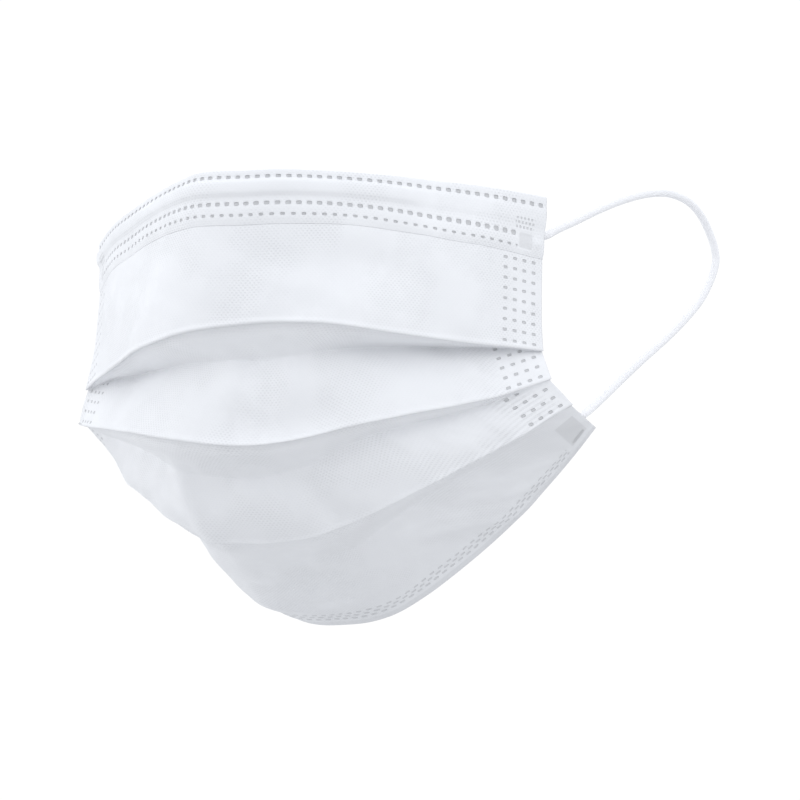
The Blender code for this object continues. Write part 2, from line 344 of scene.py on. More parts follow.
# tilt of the return at the middle and the side in degrees, and how quickly the pleat shuts to the side
PLEATS = {"fold_1": (28, -10, 2.0), "fold_2": (25, 15, 1.2), "fold_3": (11, 35, 1.5)}


def crease_points(fold, u):
    """The crease behind a fold: the fold moved back along its return, less deep towards the side."""
    middle, side, power = PLEATS[fold]
    share = np.abs(u)
    tilt = np.radians(middle + (side - middle) * share**2)
    turn = row_turn(fold, share)
    depth = PLEAT_STEP + (PLEAT_DEPTH - PLEAT_STEP) * (1 - share**power)
    way = unit(np.stack([-np.sin(turn) * np.sign(u), np.cos(turn), -np.tan(tilt)], axis=1))
    return row_points(fold, u) + way * depth[:, None]


for fold in PLEATS:
    gap = np.linalg.norm(crease_points(fold, u_test) - row_points(fold, u_test), axis=1) / MM
    print(f"{fold}: the pleat is {gap.max():.1f} mm deep at the middle and {gap.min():.1f} mm at the side")

# %% [markdown]
# ## Where the real rows stray
#
# Sweeps like these are even, and a worn mask is not. A table holds what each row strays from its sweep
# at some shares of the half width. The rows move up or down, along themselves, or towards the front.
# Straight lines between the entries would show as corners, so each column is averaged over a tenth.
# A row may grow or shrink by this, but by 3 mm at most.

# %% Slack of the rows
# share of the half width, then lift, push along the row and reach to the front, in mm
SLACK = {
    "top_edge": (
        (-1.0, -0.9, 0.0, 0.0), (-0.6, -0.8, 0.0, 0.0), (-0.31, 0.4, 0.0, 0.0), (-0.14, 1.1, 0.0, 0.0),
        (0.02, -0.1, 0.0, 0.0), (0.6, -0.6, 0.0, 0.0), (1.0, 0.2, 0.6, 0.0),
    ),
    "fold_1": (
        (-1.0, -1.0, 0.0, 0.0), (-0.68, -1.3, 0.0, 0.0), (-0.47, -0.7, 0.0, 0.0),
        (-0.26, -0.9, 0.0, 0.0), (-0.1, -0.5, 0.0, 0.0), (0.1, 0.0, 0.0, 0.0), (0.7, -0.3, 0.0, 0.0),
        (1.0, 0.2, 0.4, 0.0),
    ),
    "crease_1": (
        (-1.0, -1.0, 0.0, 0.0), (-0.8, 0.2, 0.0, 0.0), (-0.37, 1.1, 0.0, 1.5), (0.0, 0.2, 0.0, 3.0),
        (0.19, 0.7, 0.0, 3.0), (0.44, 2.7, 0.0, 1.0), (0.7, 1.6, 0.0, 0.0), (1.0, 0.2, 0.4, 0.0),
    ),
    "fold_2": (
        (-1.0, -2.6, 0.0, 0.0), (-0.7, -0.4, 0.0, 0.0), (-0.44, 0.8, 0.0, 0.0), (-0.16, 0.4, 0.0, 0.0),
        (0.0, -0.6, 0.0, 0.0), (0.5, -0.3, 0.0, 0.0), (0.82, -0.8, 0.0, 0.0), (1.0, 0.3, 1.2, 0.0),
    ),
    "crease_2": (
        (-1.0, -2.6, 0.0, 0.0), (-0.6, -0.4, 0.0, 0.0), (-0.31, -1.8, 0.0, 0.0), (0.0, 0.4, 0.0, 0.0),
        (0.23, 0.8, 0.0, -1.0), (0.45, 1.3, 0.0, -1.5), (0.8, -0.2, 0.0, 0.0), (1.0, 0.3, 1.2, 0.0),
    ),
    "fold_3": (
        (-1.0, 0.0, 0.0, 0.0), (-0.21, -0.3, 0.0, 0.5), (0.1, 0.0, 0.0, 1.5), (0.45, -0.5, 0.4, 5.0),
        (0.8, -0.7, 2.0, 10.5), (1.0, 0.2, 2.8, 7.5),
    ),
    "crease_3": (
        (-1.0, 0.0, 0.0, 0.0), (-0.21, -2.0, 0.0, 0.0), (0.02, 0.2, 0.0, -1.5), (0.25, -0.6, 0.0, -2.5),
        (0.45, -0.4, 0.4, -1.0), (0.8, 0.0, 2.0, 5.0), (1.0, 0.2, 2.8, 7.5),
    ),
    "bottom_edge": (
        (-1.0, 0.0, 0.0, 0.0), (-0.14, -1.1, 0.0, -6.0), (0.0, -0.8, 0.0, -6.0),
        (0.12, -0.8, 0.0, -5.0), (0.3, -1.9, 0.0, -4.0), (0.6, -1.9, 0.2, -1.5), (0.9, -1.0, 0.5, 1.0),
        (1.0, -0.5, 0.9, 3.0),
    ),
}
TO_FRONT = np.array([0.29, -0.93, -0.21])
SLACK_AT = np.linspace(-1.1, 1.1, 441)
SLACK_WINDOW = np.hanning(23) / np.hanning(23).sum()


def eased(u, at, values):
    """The table's values at shares u, with each corner rounded by a moving average."""
    mean = np.convolve(np.interp(SLACK_AT, at, values), SLACK_WINDOW, "valid")
    return np.interp(u, SLACK_AT[11:-11], mean)[:, None] * MM


def row_of(name, u):
    """Any row: its sweep plus a lift, a push along it and a reach to the front."""
    is_crease = name.startswith("crease")
    points = crease_points(name.replace("crease", "fold"), u) if is_crease else row_points(name, u)
    at, *slack = np.array(SLACK[name]).T
    lift, push, reach = (eased(u, at, values) for values in slack)
    along = unit(np.gradient(points, axis=0))
    return points + np.array([0, 0, 1.0]) * lift + along * push + TO_FRONT * reach


for name in SLACK:
    print(f"{name}: {distance_along(row_of(name, u_test))[-1] / MM:.1f} mm with its slack")

# %% [markdown]
# ## The sheet between the rows
#
# Between two rows the cloth spans almost straight, with a slight outward crown. The sheet is one grid:
# strip under strip, with the rows of points closer together beside the folds, where the shape changes
# fastest. Each point also keeps two measures that weld marks need: its distance square to the lower
# row of its strip, and the place of that foot along the row.

# %% The sheet
# upper row, lower row, steps, share of the crown
STRIPS = (
    ("top_edge", "fold_1", 62, 0.5),
    ("fold_1", "crease_1", 14, 0.0),
    ("crease_1", "fold_2", 32, 0.6),
    ("fold_2", "crease_2", 14, 0.0),
    ("crease_2", "fold_3", 30, 1.0),
    ("fold_3", "crease_3", 14, 0.0),
    ("crease_3", "bottom_edge", 50, 1.0),
)
CHIN_STRIP = 6
SEAM_COLUMNS = 32
MIDDLE_COLUMNS = 150
SEAM_BAND = 15 * MM
PANEL_CROWN = 1.6 * MM
# how far the rows of points crowd towards both rows of their strip
CROWDING = 0.09


def strip_grid(upper, lower, steps, crown, u):
    """a + (b - a) t + n 4t(1 - t) crown (1 - u^4), with t from 0 to 1 down the strip and n its outward way.

    Beside the points it gives (1 - t) |d - (d e) e| and u width / 2 - (1 - t) d e, with d = b - a and e
    the way along the lower row: the distance square to that row and the foot along it."""
    a, b = row_of(upper, u), row_of(lower, u)
    out = unit(np.cross(b - a, np.gradient(a, axis=0)))
    even = np.linspace(0, 1, steps + 1)
    t = (even - np.sin(2 * np.pi * even) * CROWDING)[:, None, None]
    bulge = 4 * t * (1 - t) * crown * PANEL_CROWN * (1 - u**4)[None, :, None]
    along = unit(np.gradient(b, axis=0))
    slant = ((b - a) * along).sum(axis=1)
    square = np.linalg.norm(b - a - along * slant[:, None], axis=1)
    foot = u[None] * CLOTH_WIDTH / 2 - (1 - t[..., 0]) * slant[None]
    return a + (b - a) * t + out * bulge, (1 - t[..., 0]) * square[None], foot


def columns_of_cloth():
    """Shares of the half width: close together in the seam bands at the sides, wider between them."""
    inner = 1 - 2 * SEAM_BAND / CLOTH_WIDTH
    band = np.linspace(inner, 1, SEAM_COLUMNS + 1)
    return np.concatenate([-band[::-1], np.linspace(-inner, inner, MIDDLE_COLUMNS + 1)[1:-1], band])


u = columns_of_cloth()
grids = [strip_grid(*strip, u) for strip in STRIPS]
sheet, over_row, foot = (np.concatenate([g[k][(n > 0):] for n, g in enumerate(grids)]) for k in range(3))
strip_of = np.concatenate([np.full(len(g[0]) - (n > 0), n) for n, g in enumerate(grids)])
fold_rows = np.cumsum([s[2] for s in STRIPS])[:-1]
print("sheet grid", sheet.shape, "fold rows", fold_rows)

# %% [markdown]
# ## Bulges and waves
#
# A worn sheet has broad soft bulges and a few sharper creases. A displacement texture would put them
# anywhere, so each is a hump with two ends, a width and a height, where the light shows one. A few
# crossing sine waves stand for the small unevenness that loose cloth has everywhere.

# %% Bulges and waves
# start and end across and down from the middle of the top edge, half width and height, all in mm
BULGES = (
    (-88.0, 12.0, -88.0, 28.0, 15.0, -2.4),
    (88.0, 16.0, 88.0, 32.0, 12.0, -1.4),
    (-88.0, 58.0, -78.0, 82.0, 8.0, -1.3),
    (-54.0, 92.0, -34.0, 108.0, 12.0, 1.0),
    (-52.0, 118.0, -42.0, 132.0, 12.0, -2.0),
    (-34.0, 133.0, -22.0, 152.0, 10.0, 1.8),
    (-31.0, 18.0, -42.0, 36.0, 6.0, -0.5),
    (8.0, 23.0, 38.0, 26.0, 6.0, -1.2),
    (52.0, 18.0, 60.0, 38.0, 5.0, 0.35),
    (-4.0, 56.0, -3.5, 76.0, 5.5, 1.4),
    (-3.5, 94.0, -3.0, 106.0, 4.0, 0.4),
    (-27.0, 88.0, -15.0, 110.0, 4.0, 1.5),
    (13.0, 91.0, 17.0, 101.0, 4.5, -1.2),
    (-17.5, 147.0, -7.0, 152.0, 1.9, 0.9),
    (-2.0, 70.0, 20.0, 68.5, 6.5, -3.0),
    (30.0, 58.0, 52.0, 66.0, 4.0, 0.35),
    (-44.0, 62.0, -24.0, 70.0, 5.0, -0.4),
    (34.0, 130.0, 56.0, 138.0, 6.0, 0.5),
)


def humps(x, y, table):
    """Sum of height exp(-(d / width)^2), with d the distance to the line from start to end."""
    start, end = np.array(table)[:, :2] * MM, np.array(table)[:, 2:4] * MM
    width, height = np.array(table)[:, 4] * MM, np.array(table)[:, 5] * MM
    place = np.stack([x, y], axis=-1)[..., None, :]
    w = end - start
    t = np.clip(((place - start) * w).sum(axis=-1) / (w * w).sum(axis=-1), 0, 1)
    d2 = ((place - start - t[..., None] * w) ** 2).sum(axis=-1)
    return (height * np.exp(-d2 / width**2)).sum(axis=-1)


# waves of the loose cloth: length in mm, way in degrees from across, start in degrees, height in mm
WAVES = (
    (31.0, 20, 0, 0.16), (23.0, 75, 40, 0.12), (17.0, -35, 160, 0.09),
    (12.5, 50, 250, 0.06), (9.0, -70, 310, 0.045), (6.5, 15, 80, 0.025),
)


def unevenness(x, y):
    """Sum of height sin(2 pi (x cos way + y sin way) / length + start).

    It is calm in the welded bands at the sides and close to the top edge."""
    length, way, start, height = np.array(WAVES).T
    way, start = np.radians(way), np.radians(start)
    run = (x[..., None] * np.cos(way) + y[..., None] * np.sin(way)) / (length * MM)
    calm = smooth((CLOTH_WIDTH / 2 - np.abs(x)) / SEAM_BAND - 0.6) * smooth(y / (20 * MM))
    return (height * MM * np.sin(2 * np.pi * run + start)).sum(axis=-1) * calm


middle_humps = humps(np.zeros(150), np.arange(150) * MM, BULGES) / MM
print(f"humps down the middle: {middle_humps.min():.2f} to {middle_humps.max():.2f} mm")

# %% [markdown]
# ## Rims and tucks
#
# A fold of thin cloth has a rounded rim, and the cloth behind it tucks up before it runs back. That
# small tuck draws the dark line under each fold. Averaging neighbouring rows of points rounds the fold
# itself. Then the sheet moves outward by the humps, the waves and a low ridge where the bottom hem
# ends, and beside each fold along its own normal by the rim and the tuck.

# %% Rims and tucks
RIM_HEIGHT, TUCK_DEPTH = 0.34 * MM, 1.3 * MM
# height of the ridge over the bottom hem, its distance from the edge and its width, the last two in mm
HEM_RIDGE, HEM_RIDGE_AT, HEM_RIDGE_WIDE = 0.3 * MM, 4.8, 0.8


def rounded(grid, passes):
    """Each inner row moved towards the mean of the rows above and below it, several times."""
    for _ in range(passes):
        grid = np.concatenate([grid[:1], (grid[:-2] + 2 * grid[1:-1] + grid[2:]) / 4, grid[-1:]])
    return grid


def grid_normals(grid):
    """Cross product of the grid's downward and sideways differences: outward for this sheet."""
    return unit(np.cross(np.gradient(grid, axis=0), np.gradient(grid, axis=1)))


def down_cloth(grid):
    """Distance down each column from its first point."""
    step = np.linalg.norm(np.diff(grid, axis=0), axis=2)
    return np.concatenate([np.zeros((1, grid.shape[1])), np.cumsum(step, axis=0)])


def rims_and_tucks(distance, rows):
    """Beside each fold, rim exp(-((s + 0.6) / 0.55)^2) less, after it, tuck exp(-((s - 1.3) / 0.9)^2).

    s is the distance down the cloth from the fold in mm. The tuck closes where the pleat does, and the
    rim flattens in the welded bands."""
    total = np.zeros_like(distance)
    flat_band = smooth((1.02 - np.abs(u)) / 0.12)[None]
    for fold, crease in zip(rows[::2], rows[1::2]):
        s = (distance - distance[fold]) / MM
        open_share = np.clip((distance[crease] - distance[fold]) / MM / 5 - 0.2, 0, 1)
        total += RIM_HEIGHT * flat_band * np.exp(-(((s + 0.6) / 0.55) ** 2))
        total -= TUCK_DEPTH * open_share * np.exp(-(((s - 1.3) / 0.9) ** 2)) * (s > 0)
    return total


def outward(grid):
    """The grid's normals, but across each return a straight change from the panel above to the one below.

    A return faces backwards, so its own normal would pull the layers of a pleat apart."""
    normals = grid_normals(grid)
    for fold, crease in zip(fold_rows[::2], fold_rows[1::2]):
        rows = np.arange(fold - 1, crease + 2)
        t = ((rows - fold + 2) / (crease - fold + 4))[:, None, None]
        normals[rows] = normals[fold - 2] * (1 - t) + normals[crease + 2] * t
    return unit(normals)


sheet = rounded(sheet, 2)
across = np.broadcast_to(u[None] * CLOTH_WIDTH / 2, sheet.shape[:2])
down = down_cloth(sheet)
from_edge = np.where((strip_of == CHIN_STRIP)[:, None], over_row, 1.0)
soft_shape = humps(across, down, BULGES) + unevenness(across, down) * smooth(from_edge / (15 * MM))
hem_line = HEM_RIDGE * np.exp(-((from_edge / MM - HEM_RIDGE_AT) / HEM_RIDGE_WIDE) ** 2)
fold_shape = rims_and_tucks(down, fold_rows)
moved_out = outward(sheet) * (soft_shape + hem_line)[..., None]
sheet = sheet + moved_out + grid_normals(sheet) * fold_shape[..., None]
sheet = rounded(sheet, 1)
flat_height, side_height = float(down[-1, len(u) // 2]), float(down[-1, 0])
print(f"cloth height at the middle {flat_height / MM:.1f} mm, at the side {side_height / MM:.1f} mm")

# %% [markdown]
# ## A shell of cloth
#
# Three layers of nonwoven are about half a millimetre thick together. Solidify could add that, but
# working out the inner face with numpy keeps control of it: each point moves back along its own normal,
# and a rim of faces joins the two sides.

# %% A shell of cloth
def shell(name, outer, normals, thick, flat, values=()):
    """A closed shell: the outer grid, the same grid moved back by thick, and a rim between them."""
    rows, columns = outer.shape[:2]
    n = rows * columns
    inner = outer - normals * thick
    front = grid_faces(rows, columns)
    edge = np.arange(n).reshape(rows, columns)
    ring = np.concatenate([edge[0], edge[1:, -1], edge[-1, -2::-1], edge[-2:0:-1, 0]])
    after = np.roll(ring, -1)
    rim = np.stack([ring, ring + n, after + n, after], axis=1)
    faces = np.concatenate([front, front[:, ::-1] + n, rim[:, ::-1]])
    points = np.concatenate([outer.reshape(-1, 3), inner.reshape(-1, 3)])
    piece = mesh_piece(name, points, faces, np.concatenate([flat.reshape(-1, 2)] * 2))
    for key, value in values:
        point_value(piece, key, np.concatenate([value.ravel()] * 2))
    return piece


print("the sheet's inner face starts at point", sheet.shape[0] * sheet.shape[1])

# %% [markdown]
# ## The cloth and its measures
#
# Weld marks lie on rows that follow the folds and the edges. A pattern on the flat cloth alone would
# drift off them, so the cloth carries its measures to the material as values on its points: the
# distance from the row that a weld follows, the panel that it is on, and how close a fold is, for the
# shadow painted just under it.

# %% The cloth
CLOTH_THICK = 0.5 * MM
# on the chin panel the measure down the cloth is shortened, so that its smooth pad starts lower
CHIN_SEAM_SHARE = 0.6
# distance of the painted shadow line below a fold and its width, in mm
FOLD_SHADOW_AT, FOLD_SHADOW_WIDE = 0.4, 0.5


def seam_rows():
    """The measure that the side welds' rows follow, in mm.

    It runs down the top and chin panels, and up from the lower fold on the two between them."""
    down_chin = (down - down[fold_rows[-1]]) * CHIN_SEAM_SHARE
    from_row = np.where(strip_of[:, None] == CHIN_STRIP, down_chin, over_row)
    return np.where(strip_of[:, None] == 0, down, from_row) / MM


on_panels = np.isin(strip_of, (0, 2, 4, CHIN_STRIP))[:, None] * np.ones_like(down)
from_bottom = np.where(strip_of[:, None] == CHIN_STRIP, over_row, 0.05) / MM
on_chin = (strip_of == CHIN_STRIP)[:, None] * np.ones_like(down)
# painted shadow: a dark line on the cloth just below each fold's edge, where the fold overhangs its return
below_fold = [(down - down[fold]) / MM for fold in fold_rows[::2]]
painted_fold_shadow = sum(np.exp(-(((below - FOLD_SHADOW_AT) / FOLD_SHADOW_WIDE) ** 2)) for below in below_fold)
values = [
    ("painted_fold_shadow", painted_fold_shadow), ("seam_row", seam_rows()), ("on_panel", on_panels),
    ("on_chin", on_chin), ("from_bottom", from_bottom), ("foot", foot / MM),
]
flat_place = np.stack([across, down], axis=-1)
cloth = shell("cloth", sheet, grid_normals(sheet), CLOTH_THICK, flat_place, values)
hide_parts("mask_body")
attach(cloth, "root")

# %% [markdown]
# ## The profile of the top hem
#
# The sheet's top edge is folded over the outside and welded, with the nose wire in the fold. It shows
# as a raised ridge. The hem is a profile carried along the cloth: pairs of a distance down the cloth
# and a height over it. It starts behind the cloth, rolls over the edge and rides over the wire.

# %% Profile of the top hem
# distance down, height over the cloth with the wire below, height where the wire has ended, all in mm
HEM_PROFILE = np.array([
    (1.6, -0.80, -0.80), (0.6, -0.85, -0.85), (0.1, -0.80, -0.80), (-0.22, -0.55, -0.55),
    (-0.32, -0.10, -0.10), (-0.2, 0.30, 0.30), (0.2, 0.52, 0.52), (1.0, 0.56, 0.56),
    (1.8, 0.54, 0.54), (2.4, 0.66, 0.62), (2.9, 1.12, 0.78), (3.4, 1.42, 0.88), (4.2, 1.52, 0.92),
    (4.8, 1.54, 0.92), (5.5, 1.50, 0.90), (6.2, 1.40, 0.84), (6.7, 1.02, 0.70), (7.2, 0.56, 0.56),
    (7.9, 0.48, 0.50), (9.0, 0.52, 0.52), (10.4, 0.62, 0.62), (12.0, 0.52, 0.52),
    (12.7, 0.48, 0.48), (13.5, 0.30, 0.30), (14.2, 0.10, 0.10), (14.7, -0.06, -0.06),
])
HEM_ROWS = 56


def along_table(table, rows):
    """The table resampled evenly by the distance between its first two columns' points."""
    reach = distance_along(table[:, :2])
    at = np.linspace(0, reach[-1], rows)
    return np.stack([np.interp(at, reach, table[:, k]) for k in range(table.shape[1])], axis=1)


profile = rounded(along_table(HEM_PROFILE, HEM_ROWS * 2), 4)[::2]
print(f"hem profile: {len(profile)} points, {profile[-1, 0] - profile[0, 0]:.1f} mm from first to last")

# %% [markdown]
# ## Welds in the top hem
#
# Three rows of small welds hold the hem down, and a smooth pad is pressed over each loop's end. The
# grid of the hem is fine enough to carry them as real dents, so they show in every light. The welds
# stand closer together over the nose.

# %% Welds in the top hem
DOT_PITCH = 2.87
# distance down, shift along in pitches, half length and half height of the dots, in mm but for the shift
HEM_DOTS = ((1.85, 0.0, 0.66, 0.44), (9.0, 0.0, 0.70, 0.47), (12.0, 0.5, 0.56, 0.33))
# the smooth pad pressed over each loop end: from the side edge, down, half length, half height in mm
HEM_PAD = (6.3, 10.6, 2.3, 2.0)
# along + NOSE_GATHER tanh(along / NOSE_SPAN) counts the welds, in mm
NOSE_GATHER, NOSE_SPAN = 3.4, 22.0
# the lower two rows of welds end this far from the side edge, in mm
ROWS_END = 9.2


def dots(along, drop, rows, pitch):
    """1 in the middle of each dot and 0 outside: 1 - (dx / half length)^4 - (dy / half height)^4."""
    found = np.zeros(np.broadcast(along, drop).shape)
    counted = along + NOSE_GATHER * np.tanh(along / NOSE_SPAN)
    for row, shift, half_long, half_high in rows:
        dx = (counted / pitch - shift + 0.5) % 1 - 0.5
        inside = 1 - (dx * pitch / half_long) ** 4 - ((drop - row) / half_high) ** 4
        reaches = (row < 5) | (CLOTH_WIDTH / 2 / MM - np.abs(along) > ROWS_END)
        found = np.maximum(found, np.clip(inside, 0, 1) * reaches)
    return found


def pad_share(along, drop):
    """1 on the pressed pad and 0 off it: smooth steps across its four sides."""
    side, row, half_long, half_high = HEM_PAD
    dx = np.abs(CLOTH_WIDTH / 2 / MM - np.abs(along) - side)
    return smooth((half_long - dx) / 0.5 + 0.5) * smooth((half_high - np.abs(drop - row)) / 0.5 + 0.5)


print(f"about {CLOTH_WIDTH / MM / DOT_PITCH:.0f} welds in the hem's first row")

# %% [markdown]
# ## The top hem
#
# The profile rides on the top panel's own shape, which is worked out again from its two rows. Over the
# wire it takes its high form and elsewhere its low one. A folded hem is never quite even, and this one
# is a little wider at the left side. Its last two millimetres thin out to a cut edge.

# %% Top hem
WIRE_LENGTH = 94 * MM
HEM_COLUMNS = 366
HEM_THICK = 0.42
# rows of the profile before this one lie behind the cloth or on its edge
FRONT_FROM = 12
# growth of the hem's width at the left side: as a share, by its upper edge and in its welded part, in mm
WIDER_SHARE, WIDER_EDGE, WIDER_WELDS = 0.12, 0.6, 1.2
DOT_DEPTH, PAD_DEPTH = 0.30, 0.22
# a small puff beside the pad: distance from the side edge, drop, height and width, in mm
PUFF_SIDE, PUFF_DROP, PUFF_HEIGHT, PUFF_WIDE = 2.4, 10.4, 0.5, 1.3


def on_top_panel(u, drop, height):
    """a + (b - a) t + n (height + 4t(1 - t) crown (1 - u^4)) between the top edge and the first fold."""
    upper, lower, _, crown = STRIPS[0]
    a, b = row_of(upper, u), row_of(lower, u)
    t = drop / np.linalg.norm(a - b, axis=1)[None]
    way = unit(np.cross(b - a, np.gradient(a, axis=0)))
    bulge = 4 * np.clip(t, 0, 1) * (1 - np.clip(t, 0, 1)) * crown * PANEL_CROWN * (1 - u**4)[None]
    return a + (b - a) * t[..., None] + way * (height + bulge)[..., None]


u_hem = np.linspace(-1, 1, HEM_COLUMNS + 1)
wire_share = smooth((WIRE_LENGTH / CLOTH_WIDTH - np.abs(u_hem)) / 0.08 + 0.5)
wire_share = np.maximum(wire_share, 0.7 * smooth((-u_hem - 0.3) / 0.2))
height = profile[:, 1:2] * wire_share + profile[:, 2:3] * (1 - wire_share)
along = u_hem[None] * CLOTH_WIDTH / 2 / MM + 0 * height
drop = profile[:, :1] + 0 * height
widened = smooth((u_hem - 0.1) / 0.9)[None]
wider_top = WIDER_EDGE * widened * np.clip(drop / 1.8, 0, 1)
wider_low = WIDER_WELDS * widened * np.exp(-(((drop - 10.5) / 3) ** 2))
true_drop = drop * (1 + WIDER_SHARE * widened) + wider_top + wider_low
front = np.broadcast_to((np.arange(len(profile)) > FRONT_FROM)[:, None], height.shape)
pad = pad_share(along, drop) * front
dent = dots(along, drop, HEM_DOTS, DOT_PITCH) * front * (1 - pad)
in_place = np.maximum(true_drop, 0) * MM
hem_bulge = humps(along * MM, in_place, BULGES) + unevenness(along * MM, true_drop * MM)
from_puff = (CLOTH_WIDTH / 2 / MM - np.abs(along) - PUFF_SIDE) ** 2 + (drop - PUFF_DROP) ** 2
puff = PUFF_HEIGHT * np.exp(-from_puff / PUFF_WIDE**2) * front * (along > 0)
lift = (height - DOT_DEPTH * dent - PAD_DEPTH * pad + puff) * MM + hem_bulge
hem = on_top_panel(u_hem, true_drop * MM, lift)
hem_thick = HEM_THICK * np.clip(0.2 + (14.7 - drop) / 2.6, 0.2, 1) * MM
hem_place = np.stack([along * MM, drop * MM], axis=-1)
upper_hem = shell("upper_hem", hem, grid_normals(hem), hem_thick[..., None], hem_place, [("pad", pad)])
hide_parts("top_hem")
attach(upper_hem, "root")

# %% [markdown]
# ## The nose wire
#
# The wire is hidden in the hem, where it makes the ridge. It is a flat strip with rounded ends, bent
# like the cloth under it. The hem covers it on every side, so it needs only a few faces.

# %% Nose wire
WIRE_WIDTH, WIRE_DROP, WIRE_THICK = 3.0, 4.8, 0.5
# height of the wire's underside over the cloth, in mm
WIRE_LIFT = 0.25
u_wire = np.linspace(-1, 1, 121) * WIRE_LENGTH / CLOTH_WIDTH
from_end = (1 - np.abs(u_wire) * CLOTH_WIDTH / WIRE_LENGTH) * WIRE_LENGTH / 2 / MM
half = WIRE_WIDTH / 2 * np.sqrt(1 - (1 - np.clip(from_end / 1.5, 0.05, 1)) ** 2)
wire_drop = WIRE_DROP + half[None] * np.linspace(-1, 1, 5)[:, None]
wire_widened = smooth((u_wire - 0.1) / 0.9)
wire_drop = wire_drop * (1 + WIDER_SHARE * wire_widened) + WIDER_EDGE * wire_widened
wire_along = u_wire[None] * CLOTH_WIDTH / 2 + 0 * wire_drop
wire_lift = humps(wire_along, wire_drop * MM, BULGES) + unevenness(wire_along, wire_drop * MM)
wire_top = on_top_panel(u_wire, wire_drop * MM, (WIRE_LIFT + WIRE_THICK) * MM + wire_lift)
wire_place = np.stack([wire_along, wire_drop * MM], axis=-1)
nose_wire = shell("nose_wire_strip", wire_top, grid_normals(wire_top), WIRE_THICK * MM, wire_place)
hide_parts("nose_wire")
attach(nose_wire, "root")

# %% [markdown]
# ## The bottom hem
#
# The bottom edge is folded to the inside, so from the front only its rows of welds show. The hem is a
# plain strip on the inside of the chin panel: the sheet's last rows again, moved inwards.

# %% Bottom hem
BOTTOM_HEM = 12.5 * MM
HEM_GAP, LOWER_HEM_THICK = 0.12 * MM, 0.45 * MM
chin_rows = np.flatnonzero((strip_of == CHIN_STRIP) & (over_row[:, len(u) // 2] <= BOTTOM_HEM))
normals = grid_normals(sheet)[chin_rows]
back = sheet[chin_rows] - normals * (CLOTH_THICK + HEM_GAP)
hem_values = [(key, value[chin_rows]) for key, value in values]
lower_hem = shell("lower_hem", back, normals, LOWER_HEM_THICK, flat_place[chin_rows], hem_values)
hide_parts("bottom_hem")
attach(lower_hem, "root")

# %% [markdown]
# ## The welded ends of the loops
#
# Each loop ends on the inside of the cloth, where it is pressed flat and welded. The end is a short
# tube again, but its section changes on the way in: from the cord's circle to a flat, wide oval. Its
# path starts inside the cord, 3 mm in from the side edge, where the cloth hides the joint from the
# front. Then it follows the inside of the cloth, so it bends with it.

# %% Loop ends
# distances from the side edge at which the pressed part starts and ends, its width and thickness, in mm
END_START, END_LENGTH, END_WIDTH, END_THICK = 3.5, 9.0, 4.2, 0.8
END_SIDES = 24
# for each pair: the strip of cloth, the distance down its side edge and the cloth over the end, in mm
LOOP_ENDS = {"top": (0, 10.6, 0.55), "chin": (CHIN_STRIP, 23.0, 1.15)}


def inside_cloth(side, strip, drop, inward, depth):
    """Points under the sheet, inward from a side edge: its points there minus depth times their normals."""
    first = fold_rows[strip - 1] if strip else 0
    normals = grid_normals(sheet)
    column = np.abs(u[None] - side * (1 - inward[:, None] / (CLOTH_WIDTH / 2 / MM))).argmin(axis=1)
    row = np.abs(down[:, column] - down[first, column] - drop * MM).argmin(axis=0)
    return sheet[row, column] - normals[row, column] * depth * MM, normals[row, column].mean(axis=0)


def loop_end(name, side, strip, drop, depth, cord_part):
    """A tube from inside the cord to the flat end, with half width w(s) and half thickness h(s).

    Both are r = D / 2 (0.8 + 0.4 smooth(s / 1.5)) at first, so the end swells out of the cord. Past
    2.2 mm they turn into those of the flat end by a smooth step, and at the tip they close by a root."""
    inward = np.arange(END_START, END_LENGTH, 0.5)
    place, normal = inside_cloth(side, strip, drop, inward, depth + END_THICK / 2)
    centre = softened(through(np.vstack([cord_part, place]), PATH_STEP), 30)
    s = distance_along(centre) / MM
    wide = smooth((s - 2.2) / 3.0)
    tip = np.sqrt(np.clip(1 - np.clip((s - s[-1] + 1.2) / 1.2, 0, 0.98) ** 2, 0, 1))
    round_part = LOOP_DIAMETER / 2 / MM * (0.8 + 0.4 * smooth(s / 1.5)) * (1 - wide)
    half_wide = (round_part + END_WIDTH / 2 * wide) * tip * MM
    half_thick = (round_part + END_THICK / 2 * wide) * tip * MM
    ways = unit(np.gradient(centre, axis=0))
    flat_way = unit(np.cross(ways, normal))
    up_way = np.cross(flat_way, ways)
    a = np.arange(END_SIDES) * 2 * np.pi / END_SIDES
    sideways = flat_way[:, None] * (half_wide[:, None] * np.cos(a))[..., None]
    upwards = up_way[:, None] * (half_thick[:, None] * np.sin(a))[..., None]
    rings = centre[:, None] + sideways + upwards
    first, last = end_caps(len(centre), END_SIDES)
    points = np.vstack([rings.reshape(-1, 3), centre[:1], centre[-1:]])
    flat = np.stack(np.broadcast_arrays(a[None] * MM, s[:, None] * MM), axis=-1).reshape(-1, 2)
    flat = np.vstack([flat, [[0, 0], [0, s[-1] * MM]]])
    faces = grid_faces(len(centre), END_SIDES, wrap=True).tolist() + first.tolist() + last.tolist()
    return mesh_piece(name, points, faces, flat)


loop_ends = []
for pair, (strip, drop_at, depth) in LOOP_ENDS.items():
    for name, side in (("left", 1), ("right", -1)):
        path = cord_paths[name]
        cord_part = path[12::-4] if pair == "top" else path[-13::4]
        piece = loop_end(f"pressed_end_{pair}_{name}", side, strip, drop_at, depth, cord_part)
        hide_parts(f"loop_end_{pair}_{name}")
        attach(piece, "root")
        loop_ends.append(piece)

# %% [markdown]
# ## Short names for shader nodes
#
# A material is a graph of small nodes, each with sockets to link or fill. Written out one by one they
# hide what the pattern is. A small class gives each kind of node a short name, and a socket takes
# either a number or another node's output, so a pattern reads almost like a formula.

